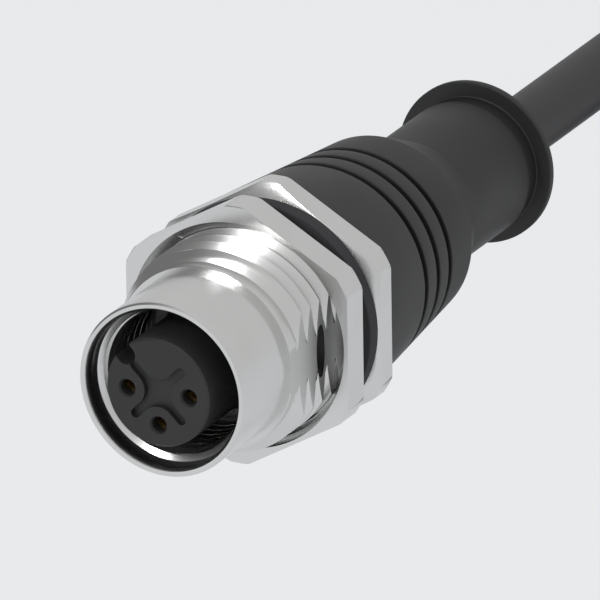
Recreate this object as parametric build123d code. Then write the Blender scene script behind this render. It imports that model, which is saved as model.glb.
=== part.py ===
from build123d import *
import math
import os

# Panel connector, M12, socket side, with a moulded cable. Millimetres.
# The axis is Y: the mating face looks to -Y, the cable leaves towards +Y, +Z is up.
# Y = 0 is the front of the hexagonal flange, where the gasket lies against the housing.

# Housing, from the panel seat forwards
stem_r = 8.0
stem_length = 8.45
lead_r = 7.15
lead_length = 0.95
barrel_r = 6.5
barrel_length = 7.15
barrel_edge = 0.3
flat_x = 6.95

# Housing, the socket's inside
mouth_r = 6.1
mouth_depth = 1.8
mouth_lead = 0.35
coupling_r = 5.46
cavity_depth = 8.8
web_thick = 1.3
rear_bore_r = 6.2
vent_y = -5.3
vent_ring_r = 6.4
vent_section_r = 0.85

# Housing, flange and the spigot inside the grip
flange_af = 18.0
flange_thick = 2.15
flange_turn = 1.05
hex_corner_r = 10.0
hex_edge_angle = 30.0
spigot_r = 7.0
spigot_length = 5.6
spigot_groove_start = 2.0
spigot_groove_width = 1.6
spigot_groove_depth = 0.5

# Panel nut and gasket
nut_af = 18.0
nut_thick = 2.5
nut_turn = 0.15
nut_mouth_r = 8.7
nut_lead = 0.2
nut_clear = 0.06
gasket_thick = 1.2
gasket_width = 0.9
gasket_clear = 0.05
panel_gap = 1.3

# Contact carrier
carrier_r = 4.15
carrier_proud = 0.3
carrier_edge = 0.12
carrier_neck_r = 4.4
carrier_web_clear = 0.08
carrier_flange_thick = 3.0
carrier_fit = 0.05
seal_section = 1.0
seal_clear = 0.03
key_angle = 135.0
key_width = 1.5
key_centre_r = 3.6
key_depth = 7.6
star_depth = 0.45
star_pad_r = 1.42
star_core_r = 1.9
star_arm_width = 0.72
star_arm_r = 2.62

# Contacts: number, place round the axis in degrees, place of its core in the cable
contact_angles = {"1": 180.0, "3": 0.0, "4": 270.0}
core_angles = {"1": 150.0, "3": 30.0, "4": 270.0}
core_colours = {"1": "brown", "3": "blue", "4": "black"}
contact_circle_r = 2.5
contact_r = 0.85
contact_recess = 1.25
contact_bore_r = 0.52
contact_bore_depth = 6.0
contact_slit_width = 0.15
contact_slit_length = 4.5
contact_collar_r = 1.05
contact_tail_r = 0.7
contact_tail_length = 3.5
contact_clear = 0.03
entry_mouth_r = 0.7
entry_mouth_depth = 0.18
entry_throat_r = 0.58
entry_r = 0.55
entry_depth = 0.8

# Grip, from its front face on the flange
mould_gap = 0.02
grip_front_r = flange_af / 2
grip_end_r = 7.3
grip_length = 16.55
grip_groove_start = 6.95
grip_groove_pitch = 2.45
grip_groove_count = 3
grip_groove_width = 0.7
grip_groove_depth = 0.5
cone_length = 4.6
neck_r = 5.33
neck_length = 9.0
recess_r = 5.12
recess_length = 1.6
disc_r = 6.29
disc_thick = 0.6
disc_edge = 0.12

# Cable and its conductors
cable_r = 2.35
jacket_start = 11.6
core_r = 0.6
core_ring_r = 0.75
core_straight = 4.0
core_run = 6.5
cable_coil_y = 92.8
coil_r = 28.2
coil_turns = 2.25
turn_pitch = 4.7
coil_slack = 0.15
tail_length = 43.0
lead_straight = 7.0
lead_slant = 11.0
lead_splay = 1.6
strand_r = 0.38
strand_length = 6.0
tie_angle = 45.0
tie_width = 3.6
tie_thick = 1.1
tie_clear = 0.2
tie_head = 4.6
tie_head_height = 3.4

# Places along the axis that follow from the sizes
thread_front = -stem_length
lead_back = thread_front - (stem_r - lead_r)
lead_front = lead_back - lead_length
rim_y = lead_front - barrel_length
floor_y = rim_y + cavity_depth
web_back = floor_y + web_thick
flange_back = flange_thick
spigot_end = flange_back + spigot_length
face_y = rim_y - carrier_proud
carrier_flange_y = web_back + seal_section
carrier_back = carrier_flange_y + carrier_flange_thick
contact_front = face_y + contact_recess
tail_end = carrier_back + contact_tail_length
grip_front = flange_back
cone_start = grip_front + grip_length
neck_start = cone_start + cone_length
recess_start = neck_start + neck_length
disc_front = recess_start + recess_length
disc_back = disc_front + disc_thick
jacket_y = grip_front + jacket_start


def turned(points):
    """A solid turned about the Y axis from a closed outline of (radius, y) points."""
    return revolve(make_face(Polyline(*points, close=True)), Axis.Y)


def rod(radius, start, end, x=0.0, z=0.0):
    """A round bar along Y from start to end, at x and z."""
    plane = Plane(origin=(x, start, z), x_dir=(1, 0, 0), z_dir=(0, 1, 0))
    return extrude(plane * Circle(radius), amount=end - start)


def ring(outer, inner, start, end):
    """A flat ring about the Y axis."""
    return turned([(inner, start), (outer, start), (outer, end), (inner, end)])


def along_y(sketch, start, end):
    """A sketch drawn in X and Z, made solid along Y from start to end."""
    plane = Plane(origin=(0, end, 0), x_dir=(1, 0, 0), z_dir=(0, -1, 0))
    return extrude(plane * sketch, amount=end - start)


def on_circle(radius, angle):
    """X and Z of a point on a circle about the axis."""
    turn = math.radians(angle)
    return radius * math.cos(turn), radius * math.sin(turn)


def hexagon(across_flats, start, end, turn):
    """A hexagonal slice with corners up and down, turned off at the corners and in front."""
    outline = RegularPolygon(across_flats / 2, 6, major_radius=False, rotation=30)
    face_r = hex_corner_r - turn
    drop = turn * math.tan(math.radians(hex_edge_angle))
    blank = turned(
        [
            (0, start),
            (face_r, start),
            (hex_corner_r, start + drop),
            (hex_corner_r, end),
            (0, end),
        ]
    )
    return along_y(outline, start, end) & blank


def spigot_outline(gap):
    """Half outline of the spigot behind the flange, grown by a gap."""
    groove = flange_back + spigot_groove_start
    floor_r = spigot_r - spigot_groove_depth + gap
    return [
        (0, flange_back),
        (spigot_r + gap, flange_back),
        (spigot_r + gap, groove + gap),
        (floor_r, groove + gap),
        (floor_r, groove + spigot_groove_width - gap),
        (spigot_r + gap, groove + spigot_groove_width - gap),
        (spigot_r + gap, spigot_end + gap),
        (0, spigot_end + gap),
    ]


def make_shell():
    """One-piece housing: barrel, lead ring, flatted stem, hexagonal flange and rear spigot."""
    outside = turned(
        [
            (0, rim_y),
            (barrel_r - barrel_edge, rim_y),
            (barrel_r, rim_y + barrel_edge),
            (barrel_r, lead_front),
            (lead_r, lead_front),
            (lead_r, lead_back),
            (stem_r, thread_front),
            (stem_r, 0),
            (0, 0),
        ]
    )
    flat = Box(stem_r, -lead_front, 3 * stem_r, align=(Align.MIN, Align.MAX, Align.CENTER))
    body = outside - Pos(flat_x, 0, 0) * flat
    body += hexagon(flange_af, 0, flange_back, flange_turn)
    body += turned(spigot_outline(0))
    bore = turned(
        [
            (0, rim_y - 1),
            (mouth_r, rim_y - 1),
            (mouth_r, rim_y + mouth_depth),
            (coupling_r, rim_y + mouth_depth + mouth_lead),
            (coupling_r, floor_y),
            (carrier_neck_r + carrier_web_clear, floor_y),
            (carrier_neck_r + carrier_web_clear, web_back),
            (rear_bore_r, web_back),
            (rear_bore_r, spigot_end + 1),
            (0, spigot_end + 1),
        ]
    )
    vent = revolve(Pos(vent_ring_r, vent_y) * Circle(vent_section_r), Axis.Y)
    return body - bore - vent


def make_panel_nut():
    """Hexagonal panel nut with a wide countersink in front."""
    back = -gasket_thick - panel_gap
    front = back - nut_thick
    bore_r = stem_r + nut_clear
    mouth = nut_mouth_r - bore_r
    bore = turned(
        [
            (0, front - 1),
            (nut_mouth_r, front - 1),
            (nut_mouth_r, front),
            (bore_r, front + mouth),
            (bore_r, back - nut_lead),
            (bore_r + nut_lead, back),
            (bore_r + nut_lead, back + 1),
            (0, back + 1),
        ]
    )
    return hexagon(nut_af, front, back, nut_turn) - bore


def make_panel_gasket():
    """Flat seal round the stem, against the flange."""
    inner_r = stem_r + gasket_clear
    return ring(inner_r + gasket_width, inner_r, -gasket_thick, 0)


def star_recess():
    """Outline of the recess in the carrier's face: concave between the pads, with four arms."""
    core = Circle(star_core_r)
    for angle in (0, 90, 180, 270):
        core -= Pos(*on_circle(contact_circle_r, angle)) * Circle(star_pad_r)
    arm = SlotCenterToCenter(2 * star_arm_r, star_arm_width)
    return core + Rot(0, 0, 45) * arm + Rot(0, 0, -45) * arm


def key_outline():
    """Outline of the coding notch: round inside, open at the carrier's side."""
    reach = carrier_r - key_centre_r + key_width
    slot = Pos(key_centre_r + reach / 2, 0) * SlotCenterToCenter(reach, key_width)
    return Rot(0, 0, key_angle) * slot


def make_contact_carrier():
    """Moulded insert: keyed spigot with a star recess, and a flange behind the seal."""
    flange_r = rear_bore_r - carrier_fit
    body = turned(
        [
            (0, face_y),
            (carrier_r - carrier_edge, face_y),
            (carrier_r, face_y + carrier_edge),
            (carrier_r, floor_y),
            (carrier_neck_r, floor_y),
            (carrier_neck_r, carrier_flange_y),
            (flange_r, carrier_flange_y),
            (flange_r, carrier_back),
            (0, carrier_back),
        ]
    )
    body -= along_y(star_recess(), face_y - 1, face_y + star_depth)
    body -= along_y(key_outline(), face_y - 1, face_y + key_depth)
    for angle in contact_angles.values():
        x, z = on_circle(contact_circle_r, angle)
        hole = turned(
            [
                (0, face_y - 1),
                (entry_mouth_r, face_y - 1),
                (entry_mouth_r, face_y),
                (entry_throat_r, face_y + entry_mouth_depth),
                (entry_r, face_y + entry_depth),
                (contact_r + contact_clear, face_y + entry_depth),
                (contact_r + contact_clear, carrier_flange_y - contact_clear),
                (contact_collar_r + contact_clear, carrier_flange_y - contact_clear),
                (contact_collar_r + contact_clear, carrier_back + 1),
                (0, carrier_back + 1),
            ]
        )
        body -= Pos(x, 0, z) * hole
    return body


def make_contact(number):
    """Socket contact: slit bore in front, collar in the carrier's flange, tail behind it."""
    x, z = on_circle(contact_circle_r, contact_angles[number])
    body = turned(
        [
            (contact_bore_r, contact_front),
            (contact_r, contact_front),
            (contact_r, carrier_flange_y),
            (contact_collar_r, carrier_flange_y),
            (contact_collar_r, carrier_back),
            (contact_tail_r, carrier_back),
            (contact_tail_r, tail_end),
            (0, tail_end),
            (0, contact_front + contact_bore_depth),
            (contact_bore_r, contact_front + contact_bore_depth),
        ]
    )
    slit = Box(
        3 * contact_r,
        contact_slit_length,
        contact_slit_width,
        align=(Align.CENTER, Align.MIN, Align.CENTER),
    )
    return Pos(x, 0, z) * (body - Pos(0, contact_front, 0) * slit)


def make_carrier_seal():
    """O-ring between the housing's web and the carrier's flange."""
    section_r = seal_section / 2 - seal_clear
    centre = Pos(carrier_neck_r + seal_clear + section_r, web_back + seal_section / 2)
    return revolve(centre * Circle(section_r), Axis.Y)


def bend_radii(points):
    """A radius for each corner: 0.45 of its shorter run over the tangent of half its turn."""
    steps = [Vector(*b) - Vector(*a) for a, b in zip(points, points[1:])]
    radii = []
    for before, after in zip(steps, steps[1:]):
        half_turn = math.radians(before.get_angle(after) / 2)
        run = min(before.length, after.length)
        radii.append(0.45 * run / math.tan(half_turn))
    return radii


def core_points(number):
    """Route of one core, from its contact's tail to the front of the jacket."""
    x, z = on_circle(contact_circle_r, contact_angles[number])
    u, w = on_circle(core_ring_r, core_angles[number])
    return [
        (x, tail_end, z),
        (x, tail_end + core_straight, z),
        (u, tail_end + core_straight + core_run, w),
        (u, jacket_y, w),
    ]


def core_path(number):
    """Centreline of one core."""
    points = core_points(number)
    return FilletPolyline(*points, radius=bend_radii(points))


def tube_on(path, radius):
    """A round bar swept along a path."""
    return sweep(Plane(origin=path @ 0, z_dir=path % 0) * Circle(radius), path=path)


def make_core(number):
    """Insulated conductor between a contact and the cable."""
    return tube_on(core_path(number), core_r)


def core_channels():
    """The room that the contact tails and the cores take in the resin and the grip."""
    rooms = []
    for number, angle in contact_angles.items():
        x, z = on_circle(contact_circle_r, angle)
        rooms.append(rod(contact_tail_r + mould_gap, carrier_back, tail_end, x, z))
        rooms.append(tube_on(core_path(number), core_r + mould_gap))
    return rooms


def make_potting():
    """Resin that fills the housing behind the carrier, round the tails and the cores."""
    body = rod(rear_bore_r - mould_gap, carrier_back, spigot_end)
    for room in core_channels():
        body -= room
    return body


def make_grip():
    """Moulded grip over the spigot: ringed cone, steep cone, neck, recess and end disc."""
    slope = (grip_end_r - grip_front_r) / grip_length
    outline = [(0, grip_front), (grip_front_r, grip_front)]
    for number in range(grip_groove_count):
        start = grip_groove_start + number * grip_groove_pitch
        end = start + grip_groove_width
        near = grip_front_r + slope * start
        far = grip_front_r + slope * end
        outline += [
            (near, grip_front + start),
            (near - grip_groove_depth, grip_front + start),
            (far - grip_groove_depth, grip_front + end),
            (far, grip_front + end),
        ]
    outline += [
        (grip_end_r, cone_start),
        (neck_r, neck_start),
        (neck_r, recess_start),
        (recess_r, recess_start),
        (recess_r, disc_front),
        (disc_r - disc_edge, disc_front),
        (disc_r, disc_front + disc_edge),
        (disc_r, disc_back - disc_edge),
        (disc_r - disc_edge, disc_back),
        (0, disc_back),
    ]
    body = turned(outline) - turned(spigot_outline(mould_gap))
    for room in core_channels():
        body -= room
    return body - rod(cable_r + mould_gap, jacket_y, disc_back + 1)


def make_cable():
    """The cable from inside the grip to the top of its coil."""
    return rod(cable_r, jacket_y, cable_coil_y)


def coil_middle():
    """X of the middle of the coil's turns, and the bundle's width and height."""
    spread = coil_turns * turn_pitch
    thick = 2 * (cable_r + coil_slack)
    return spread / 2, spread + thick, thick


def bundle_section(width, height):
    """Outline of the bundle of turns, with full round ends."""
    return RectangleRounded(width, height, 0.98 * height / 2)


def make_cable_coil():
    """Outer shape of the wound cable, hanging in the plane of Y and Z."""
    middle, width, height = coil_middle()
    plane = Plane(origin=(middle, cable_coil_y, 0), x_dir=(1, 0, 0), z_dir=(0, 1, 0))
    section = plane * bundle_section(width, height)
    return revolve(section, Axis((0, cable_coil_y, -coil_r), (1, 0, 0)))


def make_coil_tie():
    """Strap and head of the tie round the coil."""
    turn = math.radians(tie_angle)
    middle, width, height = coil_middle()
    out = Vector(0, math.sin(turn), math.cos(turn))
    origin = Vector(middle, cable_coil_y, -coil_r) + out * coil_r
    plane = Plane(origin=origin, x_dir=(1, 0, 0), z_dir=out.cross(Vector(1, 0, 0)))
    inner_w = width + 2 * tie_clear
    inner_h = height + 2 * tie_clear
    inner = bundle_section(inner_w, inner_h)
    outer = bundle_section(inner_w + 2 * tie_thick, inner_h + 2 * tie_thick)
    strap = extrude(plane * (outer - inner), amount=tie_width / 2, both=True)
    side = 1 if (plane.y_dir.dot(out)) > 0 else -1
    head = Box(tie_head, tie_head_height, tie_head)
    lift = side * (inner_h / 2 + tie_thick / 2 + tie_head_height / 2)
    return strap + plane * Pos(0, lift, 0) * head


def tail_place():
    """X and Y of the cable's free end, and Z of where it leaves the coil and of its end."""
    x = coil_turns * turn_pitch
    return x, cable_coil_y + coil_r, -coil_r, -coil_r - tail_length


def make_cable_tail():
    """The cable's free end, hanging from the coil."""
    x, y, top, end = tail_place()
    plane = Plane(origin=(x, y, top), x_dir=(1, 0, 0), z_dir=(0, 0, -1))
    return extrude(plane * Circle(cable_r), amount=top - end)


def lead_points(number):
    """Route of a free conductor past the end of the jacket."""
    x, y, top, end = tail_place()
    u, w = on_circle(core_ring_r, core_angles[number])
    p, q = on_circle(core_ring_r + lead_splay, core_angles[number])
    last = end - lead_straight - lead_slant
    return [
        (x + u, y + w, end),
        (x + u, y + w, end - lead_straight),
        (x + p, y + q, last),
    ]


def lead_path(number):
    """Centreline of a free conductor."""
    points = lead_points(number)
    return FilletPolyline(*points, radius=bend_radii(points))


def make_lead(number):
    """Insulated conductor past the end of the jacket."""
    return tube_on(lead_path(number), core_r)


def make_strands(number):
    """Stripped and tinned end of a conductor."""
    path = lead_path(number)
    plane = Plane(origin=path @ 1, z_dir=path % 1)
    return extrude(plane * Circle(strand_r), amount=strand_length)


def print_bends():
    """The radii of the bends, in cable or conductor diameters."""
    print("coil radius", coil_r, "=", round(coil_r / (2 * cable_r), 2), "diameters")
    for number, colour in core_colours.items():
        inside = [round(r, 1) for r in bend_radii(core_points(number))]
        outside = [round(r, 1) for r in bend_radii(lead_points(number))]
        print(colour, "core bend radii", inside, "and lead bend radii", outside)
    run = cable_coil_y - disc_back
    wound = 2 * math.pi * coil_r * coil_turns
    print("cable outside the grip", round(run + wound + tail_length, 1))


def main():
    """Build every piece and write it to its own file."""
    pieces = {
        "shell": make_shell(),
        "panel_nut": make_panel_nut(),
        "panel_gasket": make_panel_gasket(),
        "contact_carrier": make_contact_carrier(),
        "carrier_seal": make_carrier_seal(),
        "potting": make_potting(),
        "grip": make_grip(),
        "cable": make_cable(),
        "cable_coil": make_cable_coil(),
        "coil_tie": make_coil_tie(),
        "cable_tail": make_cable_tail(),
    }
    for number, colour in core_colours.items():
        pieces[f"contact_{number}"] = make_contact(number)
        pieces[f"core_{colour}"] = make_core(number)
        pieces[f"lead_{colour}"] = make_lead(number)
        pieces[f"strands_{colour}"] = make_strands(number)
    os.makedirs("parts", exist_ok=True)
    for name, piece in pieces.items():
        export_step(piece, f"parts/{name}.step")
    print_bends()


main()
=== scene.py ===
"""Panel connector, M12, socket side, with a moulded cable: the dressed model.

Metres. The axis is Y: the mating face looks to -Y, the cable leaves towards +Y, +Z is up.
Y = 0 is the front of the hexagonal flange.
"""

import logging
import math
from dataclasses import dataclass
from enum import Enum
from typing import Any, Callable, Iterable, Sequence

import bmesh
import bpy
from mathutils import Matrix, Vector


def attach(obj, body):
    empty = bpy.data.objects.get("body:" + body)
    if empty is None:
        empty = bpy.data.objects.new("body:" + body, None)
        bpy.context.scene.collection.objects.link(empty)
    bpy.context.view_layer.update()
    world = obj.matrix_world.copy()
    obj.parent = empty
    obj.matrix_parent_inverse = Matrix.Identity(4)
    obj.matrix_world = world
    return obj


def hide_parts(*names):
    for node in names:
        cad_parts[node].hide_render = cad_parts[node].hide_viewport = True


MM = 0.001
MICRON = 0.000001
SMOOTH_DEG = 32.0
MAIN_BODY = "connector"
NUT_BODY = "nut"
Look = tuple[Any, Any, Any]
log = logging.getLogger("connector")

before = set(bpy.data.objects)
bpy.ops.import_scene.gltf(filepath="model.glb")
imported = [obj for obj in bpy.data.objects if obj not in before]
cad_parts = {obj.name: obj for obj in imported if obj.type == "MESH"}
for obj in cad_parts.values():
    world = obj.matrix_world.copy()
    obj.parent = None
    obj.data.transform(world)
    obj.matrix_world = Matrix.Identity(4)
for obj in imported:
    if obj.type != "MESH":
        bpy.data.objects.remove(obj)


class Surface(Enum):
    """How a finish is broken up at close range."""

    SATIN_PLATE = "satin plate"
    MOULDED = "moulded plastic"
    RUBBER = "rubber"
    JACKET = "cable jacket"
    WIRE = "wire"


class Value:
    """A number socket that takes part in Python expressions."""

    def __init__(self, tree: "Tree", socket: Any) -> None:
        """Wrap a socket of a tree."""
        self.tree = tree
        self.socket = socket

    def _math(self, operation: str, *terms: Any) -> "Value":
        """Add a Math node.

        Args:
            operation: the Math node's operation.
            terms: its inputs, as numbers or Values.

        Returns:
            The node's output.
        """
        return self.tree.add("ShaderNodeMath", dict(enumerate(terms)), operation=operation).out()

    def __add__(self, other: Any) -> "Value":
        """Sum."""
        return self._math("ADD", self, other)

    def __sub__(self, other: Any) -> "Value":
        """Difference."""
        return self._math("SUBTRACT", self, other)

    def __rsub__(self, other: Any) -> "Value":
        """Difference from a number."""
        return self._math("SUBTRACT", other, self)

    def __mul__(self, other: Any) -> "Value":
        """Product."""
        return self._math("MULTIPLY", self, other)

    def __truediv__(self, other: Any) -> "Value":
        """Quotient."""
        return self._math("DIVIDE", self, other)

    def least(self, other: Any) -> "Value":
        """The lesser of two."""
        return self._math("MINIMUM", self, other)

    def most(self, other: Any) -> "Value":
        """The greater of two."""
        return self._math("MAXIMUM", self, other)

    def call(self, operation: str, *terms: Any) -> "Value":
        """Any other Math operation with this value first."""
        return self._math(operation, self, *terms)


class Node:
    """A node of a tree."""

    def __init__(self, tree: "Tree", node: Any) -> None:
        """Wrap a node."""
        self.tree = tree
        self.node = node

    def out(self, key: Any = 0) -> Value:
        """An output by name or number."""
        return Value(self.tree, self.node.outputs[key])


class Tree:
    """A node tree of a material, the world or Geometry Nodes."""

    def __init__(self, tree: Any) -> None:
        """Start from an empty tree."""
        self.tree = tree
        tree.nodes.clear()

    def add(self, kind: str, inputs: dict[Any, Any] | None = None, **settings: Any) -> Node:
        """Make a node, its settings before its inputs.

        Args:
            kind: the node's type.
            inputs: values or links, by the socket's name or number; a list gives one socket several links.
            settings: its properties.

        Returns:
            The node.
        """
        node = self.tree.nodes.new(kind)
        for key, value in settings.items():
            setattr(node, key, value)
        for key, value in (inputs or {}).items():
            socket = node.inputs[key]
            for part in value if isinstance(value, list) else [value]:
                if isinstance(part, Node):
                    part = part.out()
                if isinstance(part, Value):
                    self.tree.links.new(part.socket, socket)
                else:
                    socket.default_value = part
        return Node(self, node)

    def mix(self, share: Any, first: Any, second: Any) -> Value:
        """Blend two colours by a share."""
        node = self.add("ShaderNodeMix", {0: share, 6: first, 7: second}, data_type="RGBA")
        return node.out(2)

    def noise(self, place: Any, scale: float, detail: float = 2.0, roughness: float = 0.5) -> Value:
        """Noise about 0.5 at a place, scale in cells per metre."""
        inputs = {"Vector": place, "Scale": scale, "Detail": detail, "Roughness": roughness}
        return self.add("ShaderNodeTexNoise", inputs).out(0)

    def scaled(self, place: Any, factors: Sequence[float]) -> Value:
        """A place, stretched along the axes."""
        return self.add("ShaderNodeVectorMath", {0: place, 1: factors}, operation="MULTIPLY").out(0)

    def vector(self, x: Any = 0.0, y: Any = 0.0, z: Any = 0.0) -> Value:
        """Three numbers as a place, a size or a turn."""
        return self.add("ShaderNodeCombineXYZ", {0: x, 1: y, 2: z}).out()

    def line(self, start: Any, end: Any) -> Node:
        """A straight curve."""
        return self.add("GeometryNodeCurvePrimitiveLine", {"Start": start, "End": end})

    def sweep(self, path: Node, profile: Node, caps: bool = True) -> Node:
        """A mesh with a profile along a path."""
        inputs = {"Curve": path, "Profile Curve": profile, "Fill Caps": caps}
        return self.add("GeometryNodeCurveToMesh", inputs)

    def bump(self, height: Any, microns: float) -> Value:
        """A Bump node's normal, for a relief this many thousandths of a millimetre high."""
        inputs = {"Height": height, "Distance": microns * MICRON, "Strength": 1.0}
        return self.add("ShaderNodeBump", inputs).out(0)


@dataclass(frozen=True)
class Finish:
    """One finish of the part: its colour, its gloss and how it is broken up.

    grain scales the relief, fleck the dark flecks, and milled_x is where a duller milled face lies, in
    millimetres along X.
    """

    name: str
    slot: str
    surface: Surface
    colour: tuple[float, float, float]
    roughness: float
    metallic: float = 0.0
    grain: float = 1.0
    fleck: float = 0.0
    milled_x: float = 99.0

    def material(self) -> bpy.types.Material:
        """The finish as a material, made once.

        Returns:
            The material.
        """
        known = bpy.data.materials.get(self.name)
        if known is not None:
            return known
        made = bpy.data.materials.new(self.name)
        made.use_nodes = True
        made.diffuse_color = (*self.colour, 1.0)
        tree = Tree(made.node_tree)
        place = tree.add("ShaderNodeTexCoord").out("Object")
        builders: dict[Surface, Callable[[Tree, Value], Look]] = {
            Surface.SATIN_PLATE: self._satin_plate,
            Surface.MOULDED: self._moulded,
            Surface.RUBBER: self._rubber,
            Surface.JACKET: self._jacket,
            Surface.WIRE: self._wire,
        }
        colour, roughness, normal = builders[self.surface](tree, place)
        inputs = {"Base Color": colour, "Roughness": roughness, "Metallic": self.metallic, "Normal": normal}
        shader = tree.add("ShaderNodeBsdfPrincipled", inputs)
        tree.add("ShaderNodeOutputMaterial", {"Surface": shader})
        return made

    def _tone(self, tree: Tree, share: Any, depth: float) -> Value:
        """The colour, darker by a depth where the share is high."""
        dark = tuple(c * (1.0 - depth) for c in self.colour)
        return tree.mix(share, (*self.colour, 1.0), (*dark, 1.0))

    def _satin_plate(self, tree: Tree, place: Value) -> Look:
        """Plated brass: fine turning lines round the axis, a satin grain and faint clouds."""
        cloud = tree.noise(place, 260.0, 3.0)
        lines = tree.noise(tree.scaled(place, (60.0, 9000.0, 60.0)), 1.0, 2.0, 0.6)
        grain = tree.noise(place, 11000.0, 1.0)
        fleck = tree.noise(place, 14000.0, 0.0).call("GREATER_THAN", 0.76)
        colour = self._tone(tree, cloud * 0.7 + fleck * self.fleck * 0.3, 0.12)
        roughness = cloud * 0.07 + lines * 0.06 + (self.roughness - 0.065)
        along = tree.add("ShaderNodeSeparateXYZ", {0: place}).out("X")
        milled = along.call("COMPARE", self.milled_x * MM, 0.01 * MM)
        roughness = roughness + milled * 0.32
        height = lines * 0.5 + grain * 0.5
        return colour, roughness, tree.bump(height, 6.0 * self.grain)

    def _moulded(self, tree: Tree, place: Value) -> Look:
        """Moulded plastic: an eroded grain from the tool and faint handling marks."""
        cloud = tree.noise(place, 180.0, 4.0)
        grain = tree.noise(place, 9000.0, 3.0, 0.6)
        coarse = tree.noise(place, 2600.0, 1.0)
        colour = self._tone(tree, cloud * 0.6 + grain * 0.4, 0.28)
        roughness = cloud * 0.10 + grain * 0.08 + (self.roughness - 0.09)
        height = grain * 0.7 + coarse * 0.3
        return colour, roughness, tree.bump(height, 6.0 * self.grain)

    def _rubber(self, tree: Tree, place: Value) -> Look:
        """Rubber: dull, with a bloom in patches and a soft uneven skin."""
        bloom = tree.noise(place, 420.0, 4.0, 0.6)
        skin = tree.noise(place, 5200.0, 2.0)
        colour = self._tone(tree, 1.0 - bloom, 0.35)
        roughness = bloom * 0.12 + (self.roughness - 0.06)
        return colour, roughness, tree.bump(skin, 7.0 * self.grain)

    def _jacket(self, tree: Tree, place: Value) -> Look:
        """Extruded jacket: a satin skin with fine pits and faint scuffs."""
        scuff = tree.noise(place, 300.0, 5.0, 0.65)
        pits = tree.noise(place, 7000.0, 2.0)
        wave = tree.noise(place, 700.0, 1.0)
        colour = self._tone(tree, 1.0 - scuff, 0.25)
        roughness = scuff * 0.14 + (self.roughness - 0.07)
        return colour, roughness, tree.bump(pits * 0.4 + wave * 0.6, 8.0 * self.grain)

    def _wire(self, tree: Tree, place: Value) -> Look:
        """Bright wire or smooth insulation: small marks only."""
        marks = tree.noise(place, 2200.0, 3.0, 0.6)
        fine = tree.noise(place, 16000.0, 1.0)
        colour = self._tone(tree, marks, 0.2)
        roughness = marks * 0.12 + (self.roughness - 0.06)
        return colour, roughness, tree.bump(fine, 2.0 * self.grain)


NICKEL_TONE = (0.76, 0.76, 0.755)
FLAT_X = 6.95
NICKEL = Finish(
    "satin_nickel", "nickel_plate", Surface.SATIN_PLATE, NICKEL_TONE, 0.22, 1.0, fleck=0.4, milled_x=FLAT_X
)
NICKEL_NUT = Finish("satin_nickel_nut", "nickel_plate_nut", Surface.SATIN_PLATE, NICKEL_TONE, 0.24, 1.0)
# The gasket's near-black colour is partly its own black rubber and partly painted shade, darkened for the
# shaded gap between the nut and the flange where it sits.
GASKET_BLACK_AND_PAINTED_SHADE = Finish("gasket_rubber", "gasket_rubber", Surface.RUBBER, (0.006, 0.006, 0.007), 0.92)
SEAL = Finish("seal_rubber", "seal_rubber", Surface.RUBBER, (0.035, 0.035, 0.037), 0.5)
CARRIER = Finish("carrier_black", "carrier_plastic", Surface.MOULDED, (0.027, 0.027, 0.028), 0.5)
RESIN = Finish("casting_resin", "resin", Surface.MOULDED, (0.03, 0.03, 0.03), 0.25, grain=0.4)
GRIP = Finish("grip_black", "grip_plastic", Surface.MOULDED, (0.021, 0.021, 0.022), 0.5)
JACKET = Finish("jacket_black", "cable_jacket", Surface.JACKET, (0.036, 0.036, 0.038), 0.46)
TIE = Finish("tie_nylon", "tie_plastic", Surface.MOULDED, (0.050, 0.050, 0.050), 0.42, grain=0.6)
GOLD = Finish("gold_plate", "gold_plate", Surface.WIRE, (0.75, 0.50, 0.19), 0.2, 1.0)
TIN = Finish("tinned_copper", "tinned_copper", Surface.WIRE, (0.62, 0.60, 0.58), 0.28, 1.0)
CORES = {
    "brown": Finish("core_brown_skin", "insulation_brown", Surface.WIRE, (0.13, 0.055, 0.025), 0.38),
    "blue": Finish("core_blue_skin", "insulation_blue", Surface.WIRE, (0.03, 0.12, 0.42), 0.38),
    "black": Finish("core_black_skin", "insulation_black", Surface.WIRE, (0.03, 0.03, 0.03), 0.38),
}
CORE_ANGLES = {"brown": 150.0, "blue": 30.0, "black": 270.0}


def link_mesh(name: str, mesh: bpy.types.Mesh) -> bpy.types.Object:
    """Put a mesh in the scene as an object at the origin."""
    piece = bpy.data.objects.new(name, mesh)
    bpy.context.scene.collection.objects.link(piece)
    return piece


def link_build(name: str, build: bmesh.types.BMesh) -> bpy.types.Object:
    """Put a closed built mesh in the scene, its faces turned outwards."""
    bmesh.ops.recalc_face_normals(build, faces=build.faces)
    mesh = bpy.data.meshes.new(name)
    build.to_mesh(mesh)
    build.free()
    return link_mesh(name, mesh)


def settle(piece: bpy.types.Object, name: str) -> bpy.types.Object:
    """Turn a piece with modifiers into a plain mesh object, sharp at its edges and smooth between them.

    Args:
        piece: the object, which is removed.
        name: the new object's name.

    Returns:
        The new object, at the origin.
    """
    bpy.context.view_layer.update()
    graph = bpy.context.evaluated_depsgraph_get()
    mesh = bpy.data.meshes.new_from_object(piece.evaluated_get(graph), depsgraph=graph)
    mesh.transform(piece.matrix_world)
    bpy.data.objects.remove(piece)
    mesh.name = name
    mesh.shade_smooth()
    mesh.set_sharp_from_angle(angle=math.radians(SMOOTH_DEG))
    return link_mesh(name, mesh)


def dress(piece: bpy.types.Object, finish: Finish, body: str, *nodes: str) -> bpy.types.Object:
    """Give a new piece its finish and its body, and say which nodes it stands for.

    Args:
        piece: the piece.
        finish: its finish.
        body: the body that it rides on.
        nodes: the nodes that it replaces.

    Returns:
        The same piece.
    """
    piece.data.materials.clear()
    piece.data.materials.append(finish.material())
    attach(piece, body)
    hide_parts(*nodes)
    log.info("piece %s rides on %s and stands for %s", piece.name, body, nodes)
    return piece


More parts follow.
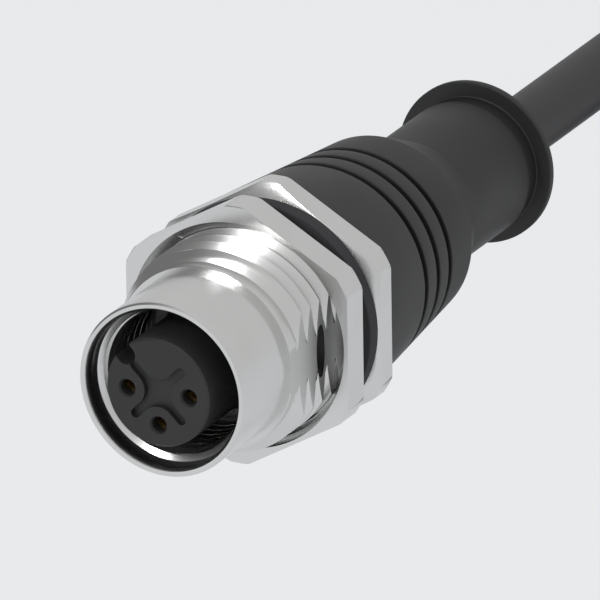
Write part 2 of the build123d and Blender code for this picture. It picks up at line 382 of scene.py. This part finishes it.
def repaint(node: str, finish: Finish) -> None:
    """Give a carried-over node its finish."""
    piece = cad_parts[node]
    if not piece.material_slots:
        piece.data.materials.append(None)
    for slot in piece.material_slots:
        slot.material = finish.material()
    log.info("node %s dressed in %s", node, finish.name)


def open_group(name: str, keys: Sequence[str]) -> tuple[Tree, Node]:
    """Start a Geometry Nodes group.

    Args:
        name: the group's name.
        keys: the names of its number inputs, between the geometry and the material.

    Returns:
        Its tree and its input node.
    """
    group = bpy.data.node_groups.new(name, "GeometryNodeTree")
    face = group.interface
    face.new_socket("Geometry", in_out="INPUT", socket_type="NodeSocketGeometry")
    for key in keys:
        face.new_socket(key, in_out="INPUT", socket_type="NodeSocketFloat")
    face.new_socket("Material", in_out="INPUT", socket_type="NodeSocketMaterial")
    face.new_socket("Geometry", in_out="OUTPUT", socket_type="NodeSocketGeometry")
    tree = Tree(group)
    return tree, tree.add("NodeGroupInput")


def close_group(tree: Tree, given: Node, geometry: Any) -> bpy.types.GeometryNodeTree:
    """End a group with real geometry in its material."""
    real = tree.add("GeometryNodeRealizeInstances", {0: geometry})
    done = tree.add("GeometryNodeSetMaterial", {"Geometry": real, "Material": given.out("Material")})
    tree.add("NodeGroupOutput", {0: done})
    return tree.tree


def sizes_of(shape: Any, keys: Sequence[str]) -> dict[str, float]:
    """A shape's sizes for a group's inputs of the same names, in metres."""
    return {key: getattr(shape, key.lower().replace(" ", "_")) * MM for key in keys}


def set_inputs(modifier: bpy.types.Modifier, values: dict[str, Any]) -> None:
    """Set a Geometry Nodes modifier's inputs by their names."""
    for item in modifier.node_group.interface.items_tree:
        if item.item_type == "SOCKET" and item.in_out == "INPUT" and item.name in values:
            modifier[item.identifier] = values[item.name]


def grow(
    name: str, group: bpy.types.GeometryNodeTree, values: dict[str, Any], place: Matrix
) -> bpy.types.Object:
    """Make a piece from a node group alone.

    Args:
        name: the piece's name.
        group: the group.
        values: its inputs by name.
        place: where its own frame stands in the part's, in metres.

    Returns:
        The piece as a plain mesh.
    """
    blank = link_mesh(name + "_blank", bpy.data.meshes.new(name))
    modifier = blank.modifiers.new("grow", "NODES")
    modifier.node_group = group
    set_inputs(modifier, values)
    blank.matrix_world = place
    return settle(blank, name)


@dataclass(frozen=True)
class Station:
    """One ring of a turned piece, in millimetres.

    A hexed ring is cut back to the hexagon, and lean is how far it moves forward for each millimetre cut.
    """

    radius: float
    y: float
    hexed: bool = False
    lean: float = 0.0


@dataclass(frozen=True)
class Screw:
    """A threaded stretch of a turned piece, in millimetres, between two places on the axis."""

    start: float
    end: float
    radius: float
    pitch: float
    outside: bool = True
    per_pitch: int = 16

    def lines(self, turns: Sequence[float]) -> list[list[float]]:
        """Places of its mesh lines, which follow the thread and stop at its two ends.

        Args:
            turns: the mesh's angles, from none to a whole turn.

        Returns:
            For each line, its place on the axis at each angle.
        """
        step = self.pitch / self.per_pitch
        length = abs(self.end - self.start)
        count = math.ceil(length / step) + self.per_pitch
        snap = 0.2 * step
        made = []
        for line in range(count + 1):
            places = []
            for turn in turns:
                share = turn / (2 * math.pi)
                if self.end > self.start:
                    gone = line * step - self.pitch * share
                else:
                    gone = line * step - self.pitch * (1 - share)
                gone = 0.0 if gone < snap else gone
                gone = length if gone > length - snap else gone
                places.append(self.start + math.copysign(gone, self.end - self.start))
            made.append(places)
        return made

    def phase(self, wanted: float) -> float:
        """The start of its teeth nearest to a wanted one, with the teeth's edges on mesh lines."""
        begun = self.start / self.pitch
        return (math.floor((begun + wanted) * self.per_pitch) + 0.5) / self.per_pitch - begun


@dataclass
class Lathe:
    """Builds turned pieces, with threads and a hexagon where their section asks."""

    name: str
    depth: float = 0.92
    phase: float = -0.01875
    bore_depth: float = 0.55
    bore_phase: float = -0.01875
    cone_radius: float = 99.0
    cone_start: float = 0.0
    across_flats: float = 18.0
    steps: int = 320
    crest: float = 0.0625
    flanks: float = 0.75

    def blank(self, section: Sequence[Station | Screw]) -> bpy.types.Object:
        """The plain turned mesh, each line's shares kept as attributes.

        Args:
            section: the closed section, in order round the wall.

        Returns:
            The object.
        """
        turns = [2 * math.pi * step / self.steps for step in range(self.steps + 1)]
        lines: list[tuple[float, list[float], dict[str, float]]] = []
        for part in section:
            if isinstance(part, Screw):
                share = {"thread": float(part.outside), "bore": float(not part.outside)}
                lines += [(part.radius, places, share) for places in part.lines(turns)]
            else:
                share = {"hexed": float(part.hexed), "lean": part.lean}
                lines.append((part.radius, [part.y] * len(turns), share))
        build = bmesh.new()
        layers = {key: build.verts.layers.float.new(key) for key in ("thread", "bore", "hexed", "lean")}
        grid = []
        for radius, places, share in lines:
            row = []
            for turn, y in zip(turns, places):
                vert = build.verts.new(Vector((radius * math.cos(turn), y, radius * math.sin(turn))) * MM)
                for key, value in share.items():
                    vert[layers[key]] = value
                row.append(vert)
            grid.append(row)
        for index, row in enumerate(grid):
            after = grid[(index + 1) % len(grid)]
            for step in range(self.steps):
                build.faces.new((row[step], row[step + 1], after[step + 1], after[step]))
        bmesh.ops.remove_doubles(build, verts=build.verts, dist=2e-7)
        return link_build(self.name + "_blank", build)

    def tree(self) -> bpy.types.GeometryNodeTree:
        """The node group that cuts the threads and the hexagon.

        Returns:
            The group.
        """
        known = bpy.data.node_groups.get("cut_turned_piece")
        if known is not None:
            return known
        thread = ("Pitch", "Depth", "Phase")
        keys = (*thread, *("Bore " + key for key in thread), "Cone Radius", "Cone Start", "Across Flats")
        tree, given = open_group("cut_turned_piece", keys)
        position = tree.add("ShaderNodeSeparateXYZ", {0: tree.add("GeometryNodeInputPosition")})
        x, y, z = (position.out(axis) for axis in "XYZ")

        def share(key: str) -> Value:
            """A named attribute of the blank."""
            return tree.add("GeometryNodeInputNamedAttribute", {"Name": key}, data_type="FLOAT").out(0)

        def tooth(prefix: str) -> Value:
            """How deep a thread is at each point: none on its crests, one in its roots."""
            phase = y / given.out(prefix + "Pitch") + turn / (2 * math.pi) + given.out(prefix + "Phase")
            rise = (phase.call("FRACT") * 2.0 - 1.0).call("ABSOLUTE")
            return ((rise - self.crest) / self.flanks).most(0.0).least(1.0) * given.out(prefix + "Depth")

        radius = (x * x + z * z).call("SQRT")
        turn = z.call("ARCTAN2", x)
        # The thread starts on a cone. Off the thread a whole metre is added, so that it limits nothing.
        cone = given.out("Cone Radius") + (y - given.out("Cone Start")) + (1.0 - share("thread"))
        threaded = (radius - tooth("") * share("thread") + tooth("Bore ") * share("bore")).least(cone)
        # The angle from the middle of the nearest side of the hexagon.
        sixth = math.pi / 3
        within = (turn / sixth + 6.5).call("FRACT") * sixth - sixth / 2
        side = given.out("Across Flats") * 0.5 / within.call("COSINE")
        hexed = share("hexed")
        squared = threaded.least(side) * hexed + threaded * (1.0 - hexed)
        ratio = squared / radius.most(1e-6)
        leaned = y - (threaded - squared) * share("lean")
        moved = tree.vector(x * ratio, leaned, z * ratio)
        placed = tree.add("GeometryNodeSetPosition", {"Geometry": given.out(0), "Position": moved})
        return close_group(tree, given, placed)

    def turn(
        self, section: Sequence[Station | Screw], finish: Finish, cutters: Sequence[bpy.types.Object] = ()
    ) -> bpy.types.Object:
        """Make the piece.

        Args:
            section: the closed section.
            finish: the finish that the tree sets.
            cutters: closed pieces that are cut away from it, and removed.

        Returns:
            The piece as a plain mesh.
        """
        blank = self.blank(section)
        modifier = blank.modifiers.new("cut", "NODES")
        modifier.node_group = self.tree()
        pitches = {part.outside: part.pitch for part in section if isinstance(part, Screw)}
        values = {
            **sizes_of(self, ("Depth", "Bore Depth", "Cone Radius", "Cone Start", "Across Flats")),
            "Pitch": pitches.get(True, 1.5) * MM,
            "Phase": self.phase,
            "Bore Pitch": pitches.get(False, 1.0) * MM,
            "Bore Phase": self.bore_phase,
            "Material": finish.material(),
        }
        set_inputs(modifier, values)
        for cutter in cutters:
            away = blank.modifiers.new(cutter.name, "BOOLEAN")
            away.operation = "DIFFERENCE"
            away.solver = "EXACT"
            away.object = cutter
        piece = settle(blank, self.name)
        for cutter in cutters:
            bpy.data.objects.remove(cutter)
        return piece


@dataclass
class Housing:
    """Plated housing: barrel, lead ring, threaded and flatted stem, hexagonal flange, spigot."""

    rim_y: float = -17.1
    rim_r: float = 6.27
    mouth_r: float = 6.03
    mouth_depth: float = 1.6
    sink: float = 0.42
    barrel_r: float = 6.68
    barrel_edge: float = 0.14
    lead_front: float = -10.25
    lead_r: float = 7.15
    lead_back: float = -9.3
    stem_r: float = 8.0
    stem_pitch: float = 1.5
    thread_end: float = -1.3
    flat_x: float = FLAT_X
    coupling_r: float = 5.46
    coupling_pitch: float = 1.0
    runout: float = 0.35
    land: float = 0.3
    flare: tuple[tuple[float, float], ...] = ((0.0, 0.65), (0.02, 0.37), (0.07, 0.18))
    bore_depth: float = 0.36
    cavity_depth: float = 8.5
    web_thick: float = 1.3
    web_r: float = 4.48
    rear_r: float = 6.2
    face_r: float = 8.95
    corner_r: float = 10.0
    flange_thick: float = 2.15
    spigot_r: float = 7.0
    spigot_end: float = 7.75
    vent_y: float = -5.3
    vent_ring_r: float = 6.4
    vent_section_r: float = 0.85
    edge: float = 0.06

    def section(self) -> list[Station | Screw]:
        """The closed section, from the rim's inner edge round the outside and back through the bore."""
        e = self.edge
        slope = math.tan(math.radians(30))
        floor_y = self.rim_y + self.cavity_depth
        web_back = floor_y + self.web_thick
        mouth_end = self.rim_y + self.mouth_depth
        sink_end = mouth_end + self.sink * slope
        thread_start = sink_end + self.land
        return [
            Station(self.rim_r, self.rim_y),
            Station(self.barrel_r - self.barrel_edge, self.rim_y),
            Station(self.barrel_r, self.rim_y + self.barrel_edge),
            Station(self.barrel_r, self.lead_front),
            Station(self.lead_r - e, self.lead_front),
            Station(self.lead_r, self.lead_front + e),
            Station(self.lead_r, self.lead_back),
            Screw(self.lead_back, self.thread_end, self.stem_r, self.stem_pitch),
            Station(self.stem_r, 0.0),
            Station(self.face_r, 0.0, hexed=True),
            Station(self.corner_r, (self.corner_r - self.face_r) * slope, hexed=True, lean=slope),
            Station(self.corner_r, self.flange_thick - e, hexed=True),
            Station(self.corner_r - e, self.flange_thick, hexed=True),
            Station(self.spigot_r, self.flange_thick),
            Station(self.spigot_r, self.spigot_end),
            Station(self.rear_r, self.spigot_end),
            Station(self.rear_r, web_back),
            Station(self.web_r, web_back),
            Station(self.web_r, floor_y),
            Station(self.coupling_r + self.runout, floor_y),
            Screw(floor_y - self.runout, thread_start, self.coupling_r, self.coupling_pitch, outside=False),
            Station(self.mouth_r - self.sink, thread_start),
            Station(self.mouth_r - self.sink, sink_end),
            Station(self.mouth_r, mouth_end),
            *(Station(self.mouth_r + out, self.rim_y + back) for out, back in self.flare),
        ]

    def build(self) -> bpy.types.Object:
        """Make and dress the housing.

        Returns:
            The piece.
        """
        lathe = Lathe("housing", bore_depth=self.bore_depth, cone_radius=self.lead_r, cone_start=self.lead_back)
        piece = lathe.turn(self.section(), NICKEL, (self.flat_tool(), self.vent_tool()))
        for face in piece.data.polygons:
            if face.normal.x > 0.9999 and abs(face.center.x - self.flat_x * MM) < 1e-6:
                face.use_smooth = False
        return dress(piece, NICKEL, MAIN_BODY, "shell")

    def flat_tool(self) -> bpy.types.Object:
        """The block that mills the flat, clear of the stem outside and just short of the flange."""
        clear, skin = 0.5, 0.0001
        low = Vector((self.flat_x, self.lead_front - clear, -self.stem_r)) * MM
        high = Vector((self.stem_r + 2 * clear, -skin, self.stem_r)) * MM
        build = bmesh.new()
        bmesh.ops.create_cube(build, size=1.0)
        for vert in build.verts:
            share = vert.co + Vector((0.5, 0.5, 0.5))
            vert.co = Vector(a + (b - a) * s for a, b, s in zip(low, high, share))
        return link_build("flat_block", build)

    def vent_tool(self) -> bpy.types.Object:
        """The arc of the groove inside that opens a slot in the flat."""
        rings, sides, sweep = 33, 28, math.radians(18)
        cutter = bmesh.new()
        loops = []
        for index in range(rings):
            turn = -sweep + 2 * sweep * index / (rings - 1)
            loop = []
            for side in range(sides):
                angle = 2 * math.pi * side / sides
                radius = self.vent_ring_r + self.vent_section_r * math.cos(angle)
                y = self.vent_y + self.vent_section_r * math.sin(angle)
                place = (radius * math.cos(turn), y, radius * math.sin(turn))
                loop.append(cutter.verts.new(Vector(place) * MM))
            loops.append(loop)
        for first, second in zip(loops, loops[1:]):
            for side in range(sides):
                ahead = (side + 1) % sides
                cutter.faces.new((first[side], first[ahead], second[ahead], second[side]))
        cutter.faces.new(loops[0])
        cutter.faces.new(loops[-1])
        return link_build("vent_arc", cutter)


@dataclass
class PanelNut:
    """Hexagonal nut with a wide countersink in front."""

    front: float = -5.0
    back: float = -2.5
    mouth_r: float = 8.7
    bore_r: float = 8.06
    bore_pitch: float = 1.5
    bore_depth: float = 0.35
    bore_phase: float = 0.01
    runout: float = 0.2
    corner_r: float = 10.0
    edge: float = 0.06

    def build(self) -> bpy.types.Object:
        """Make and dress the nut.

        Returns:
            The piece.
        """
        e = self.edge
        sink = self.mouth_r - self.bore_r
        screw = Screw(self.back - self.runout, self.front + sink, self.bore_r, self.bore_pitch, outside=False)
        section = [
            Station(self.mouth_r, self.front),
            Station(self.corner_r - e, self.front, hexed=True),
            Station(self.corner_r, self.front + e, hexed=True),
            Station(self.corner_r, self.back - e, hexed=True),
            Station(self.corner_r - e, self.back, hexed=True),
            Station(self.bore_r + self.runout, self.back),
            screw,
        ]
        lathe = Lathe("panel_nut_hex", bore_depth=self.bore_depth, bore_phase=screw.phase(self.bore_phase))
        piece = lathe.turn(section, NICKEL_NUT)
        return dress(piece, NICKEL_NUT, NUT_BODY, "panel_nut")


@dataclass
class Gasket:
    """Flat rubber seal with rounded edges."""

    front: float = -1.2
    outer_r: float = 8.95
    inner_r: float = 8.05
    edge: float = 0.12

    def build(self) -> bpy.types.Object:
        """Make and dress the gasket.

        Returns:
            The piece.
        """
        outline = [
            (self.inner_r, self.front),
            (self.outer_r, self.front),
            (self.outer_r, 0.0),
            (self.inner_r, 0.0),
        ]
        piece = Lathe("gasket_ring").turn(rounded(outline, self.edge), GASKET_BLACK_AND_PAINTED_SHADE)
        return dress(piece, GASKET_BLACK_AND_PAINTED_SHADE, MAIN_BODY, "panel_gasket")


def rounded(outline: Sequence[tuple[float, float]], edge: float) -> list[Station]:
    """A closed outline with its corners rounded.

    Args:
        outline: (radius, y) corners, in order.
        edge: how far from a corner the round starts, less on short sides.

    Returns:
        The stations of the rounded outline.
    """
    parts, most = 4, 0.45
    made = []
    count = len(outline)
    for index, corner in enumerate(outline):
        here = Vector(corner)
        before = Vector(outline[index - 1]) - here
        after = Vector(outline[(index + 1) % count]) - here
        reach = min(edge, most * before.length, most * after.length)
        start = here + before.normalized() * reach
        end = here + after.normalized() * reach
        for step in range(parts + 1):
            share = step / parts
            point = start * (1 - share) ** 2 + here * 2 * share * (1 - share) + end * share**2
            made.append(Station(point.x, point.y))
    return made


@dataclass
class Grip:
    """Moulded grip: ringed cone, steep cone, neck, recess and end disc."""

    front: float = 2.15
    front_r: float = 9.0
    end_r: float = 7.3
    length: float = 16.55
    groove_start: float = 6.95
    groove_pitch: float = 2.45
    groove_count: int = 3
    groove_width: float = 0.7
    groove_depth: float = 0.5
    cone_length: float = 4.6
    neck_r: float = 5.33
    neck_length: float = 9.0
    recess_r: float = 5.12
    recess_length: float = 1.6
    disc_r: float = 6.29
    disc_thick: float = 0.6
    spigot_r: float = 7.02
    spigot_end: float = 7.77
    cable_r: float = 2.37
    edge: float = 0.12

    def outline(self) -> list[tuple[float, float]]:
        """The closed section: outside from front to back, then the spigot's and the cable's room."""
        slope = (self.end_r - self.front_r) / self.length
        points = [(self.front_r, self.front)]
        for number in range(self.groove_count):
            start = self.groove_start + number * self.groove_pitch
            end = start + self.groove_width
            near = self.front_r + slope * start
            far = self.front_r + slope * end
            points += [
                (near, self.front + start),
                (near - self.groove_depth, self.front + start),
                (far - self.groove_depth, self.front + end),
                (far, self.front + end),
            ]
        cone = self.front + self.length
        neck = cone + self.cone_length
        recess = neck + self.neck_length
        disc = recess + self.recess_length
        back = disc + self.disc_thick
        points += [
            (self.end_r, cone),
            (self.neck_r, neck),
            (self.neck_r, recess),
            (self.recess_r, recess),
            (self.recess_r, disc),
            (self.disc_r, disc),
            (self.disc_r, back),
            (self.cable_r, back),
            (self.cable_r, self.spigot_end),
            (self.spigot_r, self.spigot_end),
            (self.spigot_r, self.front),
        ]
        return points

    def build(self) -> bpy.types.Object:
        """Make and dress the grip.

        Returns:
            The piece.
        """
        piece = Lathe("grip_body").turn(rounded(self.outline(), self.edge), GRIP)
        return dress(piece, GRIP, MAIN_BODY, "grip")


@dataclass
class Cable:
    """Round cable: out of the grip, two and a quarter hanging turns, and a free end."""

    exit_y: float = 34.5
    coil_y: float = 92.8
    coil_r: float = 28.2
    turns: float = 2.25
    turn_pitch: float = 4.7
    tail: float = 43.0
    radius: float = 2.35
    length: float = 0.5
    corners_per_turn: int = 12

    def route(self) -> list[tuple[float, float, float]]:
        """Control points of the centreline, in millimetres.

        Returns:
            The points.
        """
        step = 2 * math.pi / self.corners_per_turn
        reach = self.coil_r * math.tan(step / 2)
        corner_r = self.coil_r / math.cos(step / 2)
        points = [(0.0, self.exit_y, 0.0), (0.0, self.coil_y - reach, 0.0)]
        count = round(self.turns * self.corners_per_turn)
        for index in range(count):
            turn = (index + 0.5) * step
            points.append(
                (
                    (index + 0.5) / self.corners_per_turn * self.turn_pitch,
                    self.coil_y + corner_r * math.sin(turn),
                    -self.coil_r + corner_r * math.cos(turn),
                )
            )
        x = self.turns * self.turn_pitch
        y = self.coil_y + self.coil_r
        points += [(x, y, -self.coil_r - reach), (x, y, -self.coil_r - self.tail)]
        return points

    def build(self, with_pieces: Sequence[bpy.types.Object]) -> bpy.types.Object:
        """Args:
            with_pieces: the tie, the conductors and their ends; not used.

        Returns:
            The cable's curve.
        """
        curve = bpy.data.curves.new("cable_run", "CURVE")
        curve.dimensions = "3D"
        spline = curve.splines.new("NURBS")
        points = self.route()
        spline.points.add(len(points) - 1)
        for point, place in zip(spline.points, points):
            point.co = (*(c * MM for c in place), 1.0)
        spline.order_u = 3
        spline.use_endpoint_u = True
        spline.resolution_u = 10
        spline.use_smooth = True
        curve.bevel_depth = self.radius * MM
        curve.bevel_resolution = 10
        curve.use_fill_caps = True
        piece = bpy.data.objects.new("cable_run", curve)
        bpy.context.scene.collection.objects.link(piece)
        dress(piece, JACKET, MAIN_BODY, "cable", "cable_coil", "cable_tail")
        return piece


STRAP_SIZES = (
    "Inner Width",
    "Inner Height",
    "Thickness",
    "Width",
    "Rib Pitch",
    "Rib Height",
    "Head",
    "Head Height",
    "Spare",
)


@dataclass
class CoilTie:
    """Ribbed strap round the coil's turns, with its locking head and the cut end of the strap."""

    centre: tuple[float, float, float] = (5.2875, 92.8, -28.2)
    ring_r: float = 28.2
    angle_deg: float = 45.0
    inner_width: float = 15.975
    inner_height: float = 5.4
    thickness: float = 1.1
    width: float = 3.6
    rib_pitch: float = 1.0
    rib_height: float = 0.14
    head: float = 4.6
    head_height: float = 3.4
    spare: float = 2.6

    def tree(self) -> bpy.types.GeometryNodeTree:
        """The node group: X along the bundle's width, Y outwards, Z along the cable.

        Returns:
            The group.
        """
        tree, given = open_group("ribbed_strap", STRAP_SIZES)
        bend, band_edge, head_edge = 0.48, 0.2, 0.16
        pocket_wide, pocket_deep, pocket_long = 0.5, 0.4, 0.62
        spare_thick, spare_wide, rib_long, rib_wide = 0.85, 0.92, 0.45, 0.66
        thick, width, head = given.out("Thickness"), given.out("Width"), given.out("Head")
        tall = given.out("Inner Height") + thick

        def block(size: Value, middle: Value) -> Node:
            """A box at a place."""
            cube = tree.add("GeometryNodeMeshCube", {"Size": size})
            return tree.add("GeometryNodeTransform", {"Geometry": cube, "Translation": middle})

        def frame_curve(wide: Value, high: Value, corner: Value) -> Node:
            """A rectangle with round corners."""
            plain = tree.add("GeometryNodeCurvePrimitiveQuadrilateral", {"Width": wide, "Height": high})
            inputs = {"Curve": plain, "Count": 8, "Radius": corner}
            return tree.add("GeometryNodeFilletCurve", inputs, mode="POLY")

        rail = frame_curve(given.out("Inner Width") + thick, tall, tall * bend)
        upright = tree.add("GeometryNodeSetCurveNormal", {"Curve": rail}, mode="Z_UP")
        band = frame_curve(thick, width, thick * band_edge)
        strap = tree.sweep(upright, band, caps=False)
        foot = tall * 0.5
        top = foot + given.out("Head Height")
        axis = tree.line(tree.vector(0.0, foot), tree.vector(0.0, top))
        solid = tree.sweep(axis, frame_curve(head, head, head * head_edge))
        hollow = tree.vector(head * pocket_wide, head * pocket_deep, head * pocket_long)
        cut = {"Mesh 1": solid, "Mesh 2": block(hollow, tree.vector(0.0, top))}
        capped = tree.add("GeometryNodeMeshBoolean", cut, operation="DIFFERENCE")
        over = foot + thick * 1.5
        reach = head * 0.5 + given.out("Spare")
        end_size = tree.vector(reach, thick * spare_thick, width * spare_wide)
        spare = block(end_size, tree.vector(reach * 0.5, over))
        run = tree.line(tree.vector(head * 0.5, over), tree.vector(reach, over))
        paths = tree.add("GeometryNodeJoinGeometry", {0: [rail, run]})
        pitch = given.out("Rib Pitch")
        marks = tree.add("GeometryNodeResampleCurve", {"Curve": paths, "Length": pitch}, mode="LENGTH")
        size = tree.vector(pitch * rib_long, thick + given.out("Rib Height") * 2.0, width * rib_wide)
        rib = tree.add("GeometryNodeMeshCube", {"Size": size})
        tangent = tree.add("GeometryNodeInputTangent")
        turned = tree.add("FunctionNodeAlignRotationToVector", {"Vector": tangent}, axis="X")
        spread = {"Points": marks, "Instance": rib, "Rotation": turned}
        ribs = tree.add("GeometryNodeInstanceOnPoints", spread)
        joined = tree.add("GeometryNodeJoinGeometry", {0: [strap, capped, spare, ribs]})
        return close_group(tree, given, joined)

    def build(self) -> bpy.types.Object:
        """Make and dress the tie.

        Returns:
            The piece.
        """
        turn = math.radians(self.angle_deg)
        out = Vector((0.0, math.sin(turn), math.cos(turn)))
        along = Vector((1.0, 0.0, 0.0)).cross(out)
        middle = (Vector(self.centre) + out * self.ring_r) * MM
        axes = Matrix(((1.0, 0.0, 0.0), out, along)).transposed().to_4x4()
        values = {**sizes_of(self, STRAP_SIZES), "Material": TIE.material()}
        piece = grow("coil_tie_strap", self.tree(), values, Matrix.Translation(middle) @ axes)
        return dress(piece, TIE, MAIN_BODY, "coil_tie")


@dataclass
class Strands:
    """Twisted wires at the stripped end of a conductor."""

    end: tuple[float, float, float] = (10.575, 121.0, -89.2)
    near_r: float = 0.75
    far_r: float = 2.35
    drop: float = 11.0
    wires: int = 6
    wire_radius: float = 0.125
    lay_radius: float = 0.252
    length: float = 6.0
    turns: float = 0.8
    shortest: float = 0.95
    seed: int = 11

    def tree(self) -> bpy.types.GeometryNodeTree:
        """The node group, its wires along Z.

        Returns:
            The group.
        """
        known = bpy.data.node_groups.get("twisted_strand")
        if known is not None:
            return known
        keys = ("Wires", "Wire Radius", "Lay Radius", "Length", "Turns", "Seed")
        tree, given = open_group("twisted_strand", keys)
        lay, length = given.out("Lay Radius"), given.out("Length")
        round_wire = {"Resolution": 10, "Radius": given.out("Wire Radius")}
        section = tree.add("GeometryNodeCurvePrimitiveCircle", round_wire)
        twist = {"Start Radius": lay, "End Radius": lay, "Height": length, "Rotations": given.out("Turns")}
        outer = tree.sweep(tree.add("GeometryNodeCurveSpiral", {"Resolution": 24, **twist}), section)
        middle = tree.sweep(tree.line((0.0, 0.0, 0.0), tree.vector(z=length)), section)
        spots = tree.add("GeometryNodePoints", {"Count": given.out("Wires")})
        step = tree.add("GeometryNodeInputIndex").out() * (2 * math.pi) / given.out("Wires")
        cut = {2: self.shortest, 3: 1.0, "Seed": given.out("Seed")}
        share = tree.add("FunctionNodeRandomValue", cut).out(1)
        scale = tree.vector(1.0, 1.0, share)
        inputs = {"Points": spots, "Instance": outer, "Rotation": tree.vector(z=step), "Scale": scale}
        ring = tree.add("GeometryNodeInstanceOnPoints", inputs)
        return close_group(tree, given, tree.add("GeometryNodeJoinGeometry", {0: [ring, middle]}))

    def build(self, colour: str, angle_deg: float) -> bpy.types.Object:
        """Make and dress the wires of one conductor.

        Args:
            colour: the conductor's colour.
            angle_deg: where it leaves the jacket, about the cable's axis.

        Returns:
            The piece.
        """
        turn = math.radians(angle_deg)
        away = Vector((math.cos(turn), math.sin(turn), 0.0))
        way = away * (self.far_r - self.near_r) - Vector((0.0, 0.0, self.drop))
        aim = way.to_track_quat("Z", "Y").to_matrix().to_4x4()
        place = Matrix.Translation((Vector(self.end) + away * self.far_r) * MM) @ aim
        values = {
            **sizes_of(self, ("Wire Radius", "Lay Radius", "Length")),
            "Wires": float(self.wires),
            "Turns": self.turns,
            "Seed": float(self.seed),
            "Material": TIN.material(),
        }
        piece = grow(f"strands_{colour}_wires", self.tree(), values, place)
        return dress(piece, TIN, MAIN_BODY, f"strands_{colour}")


@dataclass
class Studio:
    """Pale floor, soft light and a long lens at the photograph's viewing angle."""

    floor_z: float = -0.1005
    floor_half: float = 6.0
    lens: float = 1500.0
    sensor: float = 36.0
    distance: float = 1.82615
    centre: tuple[float, float, float] = (0.0000551, 0.0050495, -0.0007635)
    right: tuple[float, float, float] = (0.89348, 0.44919, -0.01413)
    up: tuple[float, float, float] = (-0.14966, 0.3271, 0.93279)
    floor_seen: float = 0.8
    floor_mirrored: float = 0.5
    sky: float = 0.64
    sky_drop: float = 0.44
    drop_way: tuple[float, float, float] = (-0.95, -0.25, 0.2)
    drop_from: float = 0.3
    drop_over: float = 0.5
    key_way: tuple[float, float, float] = (-0.21, -0.80, 0.54)
    key_distance: float = 0.7
    key_size: tuple[float, float] = (0.12, 0.2)
    key_power: float = 1.2

    def floor(self) -> None:
        """A pale floor that keeps the shadow and fills the background."""
        half = self.floor_half
        mesh = bpy.data.meshes.new("floor")
        square = [(-half, -half), (half, -half), (half, half), (-half, half)]
        mesh.from_pydata([(x, y, self.floor_z) for x, y in square], [], [(0, 1, 2, 3)])
        made = bpy.data.materials.new("pale_floor")
        made.use_nodes = True
        tree = Tree(made.node_tree)
        path = tree.add("ShaderNodeLightPath")
        seen = path.out("Is Camera Ray") * self.floor_seen + path.out("Is Glossy Ray") * self.floor_mirrored
        matt = tree.add("ShaderNodeBsdfDiffuse", {"Color": (0.80, 0.81, 0.82, 1.0)})
        glow = tree.add("ShaderNodeEmission", {"Color": (0.89, 0.905, 0.925, 1.0), "Strength": 1.0})
        both = tree.add("ShaderNodeMixShader", {0: seen, 1: matt, 2: glow})
        tree.add("ShaderNodeOutputMaterial", {"Surface": both})
        mesh.materials.append(made)
        link_mesh("floor", mesh)

    def world(self) -> None:
        """Plain soft light from all round, dimmer from the front left."""
        world = bpy.data.worlds.new("studio")
        bpy.context.scene.world = world
        world.use_nodes = True
        tree = Tree(world.node_tree)
        path = tree.add("ShaderNodeLightPath")
        way = tree.add("ShaderNodeTexCoord").out("Generated")
        aim = tree.add("ShaderNodeVectorMath", {0: way, 1: self.drop_way}, operation="DOT_PRODUCT")
        dim = ((aim.out("Value") - self.drop_from) / self.drop_over).most(0.0).least(1.0)
        level = self.sky - dim * self.sky_drop
        seen = path.out("Is Camera Ray")
        strength = level * (1.0 - seen) + seen
        colour = tree.mix(seen, (1.0, 1.0, 1.0, 1.0), (0.83, 0.85, 0.87, 1.0))
        back = tree.add("ShaderNodeBackground", {"Color": colour, "Strength": strength})
        tree.add("ShaderNodeOutputWorld", {"Surface": back})

    def key(self) -> None:
        """The one soft rectangular lamp, which looks at the part."""
        light = bpy.data.lights.new("key", "AREA")
        light.shape = "RECTANGLE"
        light.size, light.size_y = self.key_size
        light.energy = self.key_power
        lamp = bpy.data.objects.new("key", light)
        way = Vector(self.key_way).normalized()
        lamp.location = way * self.key_distance
        lamp.rotation_euler = (-way).to_track_quat("-Z", "Y").to_euler()
        lamp.visible_camera = False
        bpy.context.scene.collection.objects.link(lamp)

    def camera(self) -> None:
        """The photograph's camera."""
        data = bpy.data.cameras.new("photo_camera")
        data.type = "PERSP"
        data.lens = self.lens
        data.sensor_width = self.sensor
        right = Vector(self.right).normalized()
        back = right.cross(Vector(self.up)).normalized()
        up = back.cross(right)
        place = Vector(self.centre) + back * self.distance
        axes = Matrix((right, up, back)).transposed().to_4x4()
        data.clip_start = 0.05
        data.clip_end = 50.0
        camera = bpy.data.objects.new("photo_camera", data)
        camera.matrix_world = Matrix.Translation(place) @ axes
        bpy.context.scene.collection.objects.link(camera)
        bpy.context.scene.camera = camera

    def build(self) -> None:
        """Set the stage."""
        bpy.context.scene.view_settings.view_transform = "Standard"
        self.camera()
        self.floor()
        self.world()
        self.key()


def main() -> None:
    """Build every piece in order and set the stage."""
    logging.basicConfig(level=logging.INFO, format="%(name)s: %(message)s")
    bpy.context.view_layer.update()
    Housing().build()
    PanelNut().build()
    Gasket().build()
    Grip().build()
    repaint("contact_carrier", CARRIER)
    repaint("carrier_seal", SEAL)
    repaint("potting", RESIN)
    for number in "134":
        repaint(f"contact_{number}", GOLD)
    on_cable = [CoilTie().build()]
    for colour, finish in CORES.items():
        repaint(f"core_{colour}", finish)
        repaint(f"lead_{colour}", finish)
        on_cable += [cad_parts[f"lead_{colour}"], Strands().build(colour, CORE_ANGLES[colour])]
    Cable().build(on_cable)
    Studio().build()


if __name__ == "__main__":
    main()
